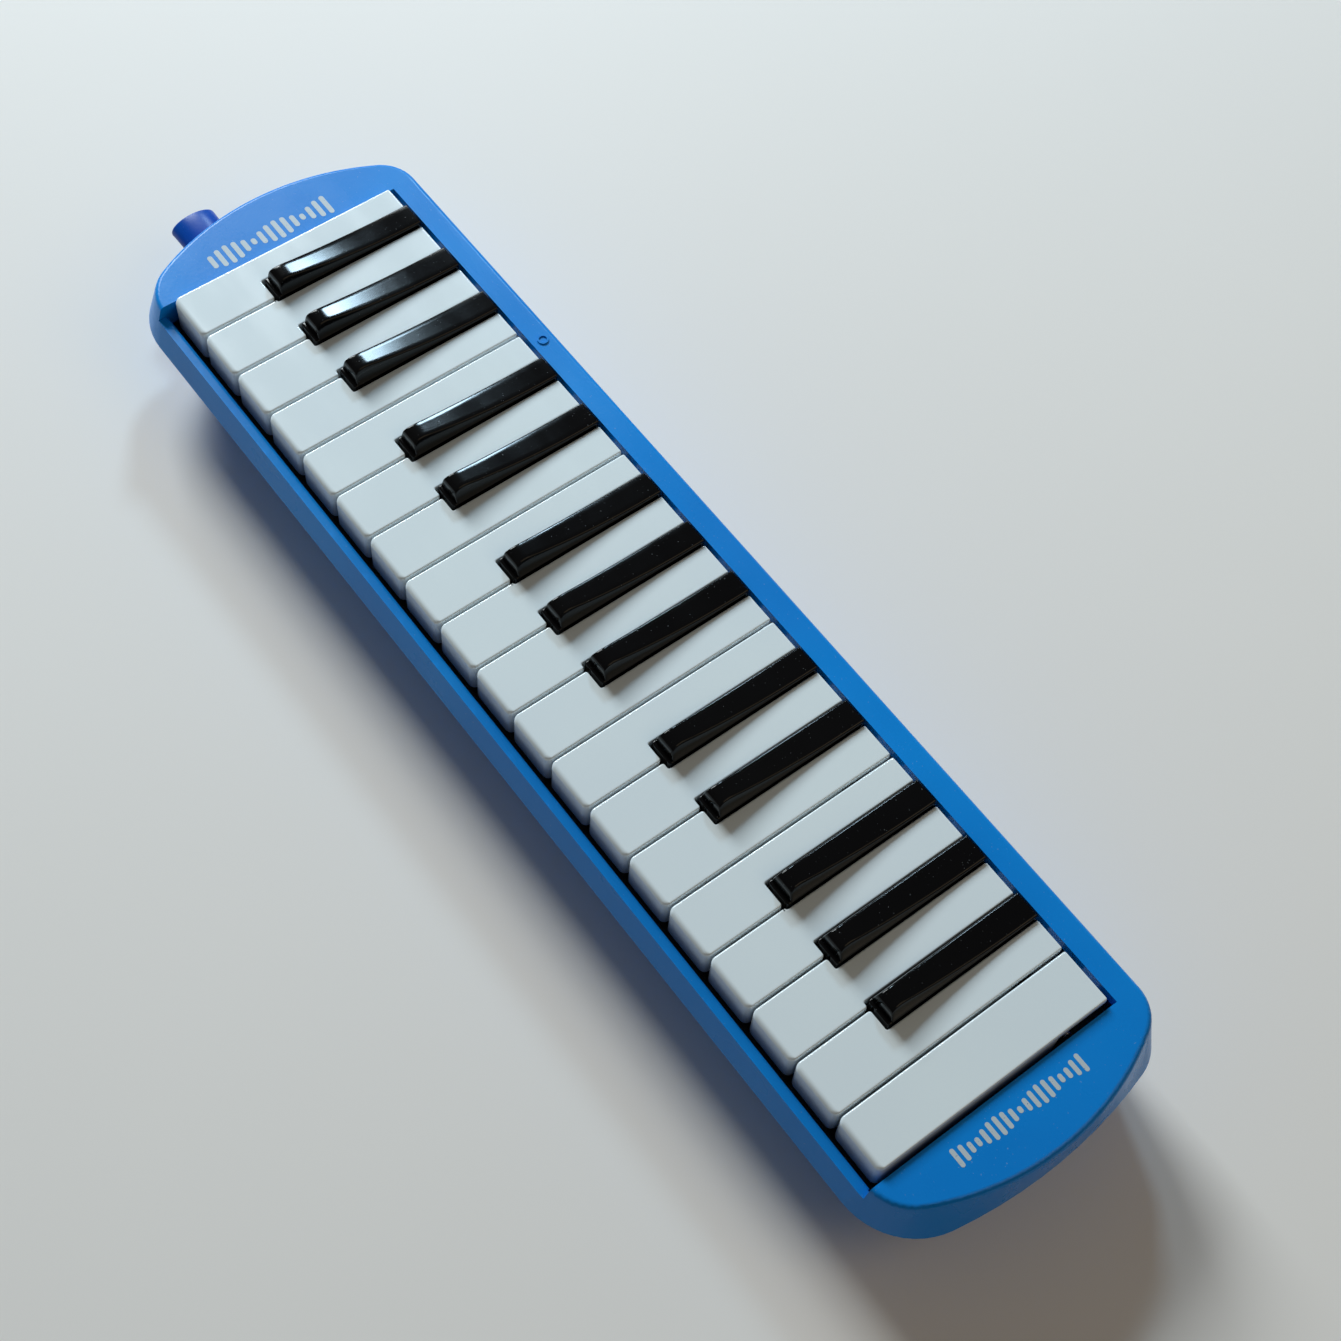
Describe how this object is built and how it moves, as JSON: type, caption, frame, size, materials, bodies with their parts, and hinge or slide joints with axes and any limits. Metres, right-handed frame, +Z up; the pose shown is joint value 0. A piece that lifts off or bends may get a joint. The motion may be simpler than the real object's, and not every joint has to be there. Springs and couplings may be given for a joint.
{
  "type": "melodica",
  "caption": "Melodica: a mouth-blown keyboard in a moulded blue case, with sprung white and black keys, an oval mouthpiece socket and a drain button.",
  "frame": {"origin": "on the table under the middle of the whole, socket included", "axes": "+X along the keyboard towards the high notes, +Y from the keys' fronts to their rear, +Z up"},
  "size_m": [0.445, 0.1102, 0.0518],
  "materials": {
    "case_blue": "semi-gloss moulded",
    "socket_blue": "gloss",
    "key_white": "gloss",
    "key_black": "gloss",
    "inner_grey": "matt moulded",
    "plate_brass": "rolled",
    "steel": "satin",
    "rubber_black": "matt",
    "felt": "pressed felt",
    "button_black": "matt moulded"
  },
  "bodies": {
    "body": {"upper_case": "case_blue", "lower_case": "case_blue", "mouthpiece_socket": "socket_blue", "socket_seal": "rubber_black", "inlet_duct": "inner_grey", "reed_block": "inner_grey", "chamber_gasket": "rubber_black", "chamber_cover": "inner_grey", "chamber_screws": "steel", "reed_plate_low": "plate_brass", "reed_plate_high": "plate_brass", "reeds_low": "steel", "reeds_high": "steel", "reed_screws": "steel", "key_shaft": "steel", "shaft_clips": "steel", "key_springs": "steel", "key_bed": "inner_grey", "white_key_felt": "felt", "black_key_felt": "felt", "drain_spring": "steel", "case_screws": "steel", "rubber_feet": "rubber_black"},
    "white_key_01": {"white_key_01": "key_white"},
    "white_key_02": {"white_key_02": "key_white"},
    "white_key_03": {"white_key_03": "key_white"},
    "white_key_04": {"white_key_04": "key_white"},
    "white_key_05": {"white_key_05": "key_white"},
    "white_key_06": {"white_key_06": "key_white"},
    "white_key_07": {"white_key_07": "key_white"},
    "white_key_08": {"white_key_08": "key_white"},
    "white_key_09": {"white_key_09": "key_white"},
    "white_key_10": {"white_key_10": "key_white"},
    "white_key_11": {"white_key_11": "key_white"},
    "white_key_12": {"white_key_12": "key_white"},
    "white_key_13": {"white_key_13": "key_white"},
    "white_key_14": {"white_key_14": "key_white"},
    "white_key_15": {"white_key_15": "key_white"},
    "white_key_16": {"white_key_16": "key_white"},
    "white_key_17": {"white_key_17": "key_white"},
    "white_key_18": {"white_key_18": "key_white"},
    "white_key_19": {"white_key_19": "key_white"},
    "black_key_01": {"black_key_01": "key_black"},
    "black_key_02": {"black_key_02": "key_black"},
    "black_key_03": {"black_key_03": "key_black"},
    "black_key_04": {"black_key_04": "key_black"},
    "black_key_05": {"black_key_05": "key_black"},
    "black_key_06": {"black_key_06": "key_black"},
    "black_key_07": {"black_key_07": "key_black"},
    "black_key_08": {"black_key_08": "key_black"},
    "black_key_09": {"black_key_09": "key_black"},
    "black_key_10": {"black_key_10": "key_black"},
    "black_key_11": {"black_key_11": "key_black"},
    "black_key_12": {"black_key_12": "key_black"},
    "black_key_13": {"black_key_13": "key_black"},
    "drain": {"drain_button": "button_black", "drain_seal": "rubber_black"}
  },
  "joints": [
    {"name": "white_key_01_press", "type": "hinge", "parent": "body", "child": "white_key_01", "pos_m": [-0.1779, 0.02865, 0.036], "axis": [1, 0, 0], "range_deg": [0, 4], "stiffness_Nm_per_rad": 0.17, "springref_deg": -11.46, "deforming": ["key_springs"]},
    {"name": "white_key_02_press", "type": "hinge", "parent": "body", "child": "white_key_02", "pos_m": [-0.1558, 0.02865, 0.036], "axis": [1, 0, 0], "range_deg": [0, 4], "stiffness_Nm_per_rad": 0.17, "springref_deg": -11.46, "deforming": ["key_springs"]},
    {"name": "white_key_03_press", "type": "hinge", "parent": "body", "child": "white_key_03", "pos_m": [-0.13235, 0.02865, 0.036], "axis": [1, 0, 0], "range_deg": [0, 4], "stiffness_Nm_per_rad": 0.17, "springref_deg": -11.46, "deforming": ["key_springs"]},
    {"name": "white_key_04_press", "type": "hinge", "parent": "body", "child": "white_key_04", "pos_m": [-0.10965, 0.02865, 0.036], "axis": [1, 0, 0], "range_deg": [0, 4], "stiffness_Nm_per_rad": 0.17, "springref_deg": -11.46, "deforming": ["key_springs"]},
    {"name": "white_key_05_press", "type": "hinge", "parent": "body", "child": "white_key_05", "pos_m": [-0.09695, 0.02865, 0.036], "axis": [1, 0, 0], "range_deg": [0, 4], "stiffness_Nm_per_rad": 0.17, "springref_deg": -11.46, "deforming": ["key_springs"]},
    {"name": "white_key_06_press", "type": "hinge", "parent": "body", "child": "white_key_06", "pos_m": [-0.07385, 0.02865, 0.036], "axis": [1, 0, 0], "range_deg": [0, 4], "stiffness_Nm_per_rad": 0.17, "springref_deg": -11.46, "deforming": ["key_springs"]},
    {"name": "white_key_07_press", "type": "hinge", "parent": "body", "child": "white_key_07", "pos_m": [-0.0504, 0.02865, 0.036], "axis": [1, 0, 0], "range_deg": [0, 4], "stiffness_Nm_per_rad": 0.17, "springref_deg": -11.46, "deforming": ["key_springs"]},
    {"name": "white_key_08_press", "type": "hinge", "parent": "body", "child": "white_key_08", "pos_m": [-0.0379, 0.02865, 0.036], "axis": [1, 0, 0], "range_deg": [0, 4], "stiffness_Nm_per_rad": 0.17, "springref_deg": -11.46, "deforming": ["key_springs"]},
    {"name": "white_key_09_press", "type": "hinge", "parent": "body", "child": "white_key_09", "pos_m": [-0.0158, 0.02865, 0.036], "axis": [1, 0, 0], "range_deg": [0, 4], "stiffness_Nm_per_rad": 0.17, "springref_deg": -11.46, "deforming": ["key_springs"]},
    {"name": "white_key_10_press", "type": "hinge", "parent": "body", "child": "white_key_10", "pos_m": [0.00765, 0.02865, 0.036], "axis": [1, 0, 0], "range_deg": [0, 4], "stiffness_Nm_per_rad": 0.17, "springref_deg": -11.46, "deforming": ["key_springs"]},
    {"name": "white_key_11_press", "type": "hinge", "parent": "body", "child": "white_key_11", "pos_m": [0.03035, 0.02865, 0.036], "axis": [1, 0, 0], "range_deg": [0, 4], "stiffness_Nm_per_rad": 0.17, "springref_deg": -11.46, "deforming": ["key_springs"]},
    {"name": "white_key_12_press", "type": "hinge", "parent": "body", "child": "white_key_12", "pos_m": [0.04305, 0.02865, 0.036], "axis": [1, 0, 0], "range_deg": [0, 4], "stiffness_Nm_per_rad": 0.17, "springref_deg": -11.46, "deforming": ["key_springs"]},
    {"name": "white_key_13_press", "type": "hinge", "parent": "body", "child": "white_key_13", "pos_m": [0.06615, 0.02865, 0.036], "axis": [1, 0, 0], "range_deg": [0, 4], "stiffness_Nm_per_rad": 0.17, "springref_deg": -11.46, "deforming": ["key_springs"]},
    {"name": "white_key_14_press", "type": "hinge", "parent": "body", "child": "white_key_14", "pos_m": [0.0896, 0.02865, 0.036], "axis": [1, 0, 0], "range_deg": [0, 4], "stiffness_Nm_per_rad": 0.17, "springref_deg": -11.46, "deforming": ["key_springs"]},
    {"name": "white_key_15_press", "type": "hinge", "parent": "body", "child": "white_key_15", "pos_m": [0.1021, 0.02865, 0.036], "axis": [1, 0, 0], "range_deg": [0, 4], "stiffness_Nm_per_rad": 0.17, "springref_deg": -11.46, "deforming": ["key_springs"]},
    {"name": "white_key_16_press", "type": "hinge", "parent": "body", "child": "white_key_16", "pos_m": [0.1242, 0.02865, 0.036], "axis": [1, 0, 0], "range_deg": [0, 4], "stiffness_Nm_per_rad": 0.17, "springref_deg": -11.46, "deforming": ["key_springs"]},
    {"name": "white_key_17_press", "type": "hinge", "parent": "body", "child": "white_key_17", "pos_m": [0.14765, 0.02865, 0.036], "axis": [1, 0, 0], "range_deg": [0, 4], "stiffness_Nm_per_rad": 0.17, "springref_deg": -11.46, "deforming": ["key_springs"]},
    {"name": "white_key_18_press", "type": "hinge", "parent": "body", "child": "white_key_18", "pos_m": [0.17035, 0.02865, 0.036], "axis": [1, 0, 0], "range_deg": [0, 4], "stiffness_Nm_per_rad": 0.17, "springref_deg": -11.46, "deforming": ["key_springs"]},
    {"name": "white_key_19_press", "type": "hinge", "parent": "body", "child": "white_key_19", "pos_m": [0.1865, 0.02865, 0.036], "axis": [1, 0, 0], "range_deg": [0, 4], "stiffness_Nm_per_rad": 0.17, "springref_deg": -11.46, "deforming": ["key_springs"]},
    {"name": "black_key_01_press", "type": "hinge", "parent": "body", "child": "black_key_01", "pos_m": [-0.1675, 0.02865, 0.036], "axis": [1, 0, 0], "range_deg": [0, 4], "stiffness_Nm_per_rad": 0.17, "springref_deg": -11.46, "deforming": ["key_springs"]},
    {"name": "black_key_02_press", "type": "hinge", "parent": "body", "child": "black_key_02", "pos_m": [-0.1441, 0.02865, 0.036], "axis": [1, 0, 0], "range_deg": [0, 4], "stiffness_Nm_per_rad": 0.17, "springref_deg": -11.46, "deforming": ["key_springs"]},
    {"name": "black_key_03_press", "type": "hinge", "parent": "body", "child": "black_key_03", "pos_m": [-0.1206, 0.02865, 0.036], "axis": [1, 0, 0], "range_deg": [0, 4], "stiffness_Nm_per_rad": 0.17, "springref_deg": -11.46, "deforming": ["key_springs"]},
    {"name": "black_key_04_press", "type": "hinge", "parent": "body", "child": "black_key_04", "pos_m": [-0.0856, 0.02865, 0.036], "axis": [1, 0, 0], "range_deg": [0, 4], "stiffness_Nm_per_rad": 0.17, "springref_deg": -11.46, "deforming": ["key_springs"]},
    {"name": "black_key_05_press", "type": "hinge", "parent": "body", "child": "black_key_05", "pos_m": [-0.0621, 0.02865, 0.036], "axis": [1, 0, 0], "range_deg": [0, 4], "stiffness_Nm_per_rad": 0.17, "springref_deg": -11.46, "deforming": ["key_springs"]},
    {"name": "black_key_06_press", "type": "hinge", "parent": "body", "child": "black_key_06", "pos_m": [-0.0275, 0.02865, 0.036], "axis": [1, 0, 0], "range_deg": [0, 4], "stiffness_Nm_per_rad": 0.17, "springref_deg": -11.46, "deforming": ["key_springs"]},
    {"name": "black_key_07_press", "type": "hinge", "parent": "body", "child": "black_key_07", "pos_m": [-0.0041, 0.02865, 0.036], "axis": [1, 0, 0], "range_deg": [0, 4], "stiffness_Nm_per_rad": 0.17, "springref_deg": -11.46, "deforming": ["key_springs"]},
    {"name": "black_key_08_press", "type": "hinge", "parent": "body", "child": "black_key_08", "pos_m": [0.0194, 0.02865, 0.036], "axis": [1, 0, 0], "range_deg": [0, 4], "stiffness_Nm_per_rad": 0.17, "springref_deg": -11.46, "deforming": ["key_springs"]},
    {"name": "black_key_09_press", "type": "hinge", "parent": "body", "child": "black_key_09", "pos_m": [0.0544, 0.02865, 0.036], "axis": [1, 0, 0], "range_deg": [0, 4], "stiffness_Nm_per_rad": 0.17, "springref_deg": -11.46, "deforming": ["key_springs"]},
    {"name": "black_key_10_press", "type": "hinge", "parent": "body", "child": "black_key_10", "pos_m": [0.0779, 0.02865, 0.036], "axis": [1, 0, 0], "range_deg": [0, 4], "stiffness_Nm_per_rad": 0.17, "springref_deg": -11.46, "deforming": ["key_springs"]},
    {"name": "black_key_11_press", "type": "hinge", "parent": "body", "child": "black_key_11", "pos_m": [0.1125, 0.02865, 0.036], "axis": [1, 0, 0], "range_deg": [0, 4], "stiffness_Nm_per_rad": 0.17, "springref_deg": -11.46, "deforming": ["key_springs"]},
    {"name": "black_key_12_press", "type": "hinge", "parent": "body", "child": "black_key_12", "pos_m": [0.1359, 0.02865, 0.036], "axis": [1, 0, 0], "range_deg": [0, 4], "stiffness_Nm_per_rad": 0.17, "springref_deg": -11.46, "deforming": ["key_springs"]},
    {"name": "black_key_13_press", "type": "hinge", "parent": "body", "child": "black_key_13", "pos_m": [0.1594, 0.02865, 0.036], "axis": [1, 0, 0], "range_deg": [0, 4], "stiffness_Nm_per_rad": 0.17, "springref_deg": -11.46, "deforming": ["key_springs"]},
    {"name": "drain_button_press", "type": "slide", "parent": "body", "child": "drain", "axis": [0, 0, 1], "range_m": [0, 0.0015], "stiffness_N_per_m": 300, "springref_m": -0.004, "deforming": ["drain_spring"]}
  ]
}
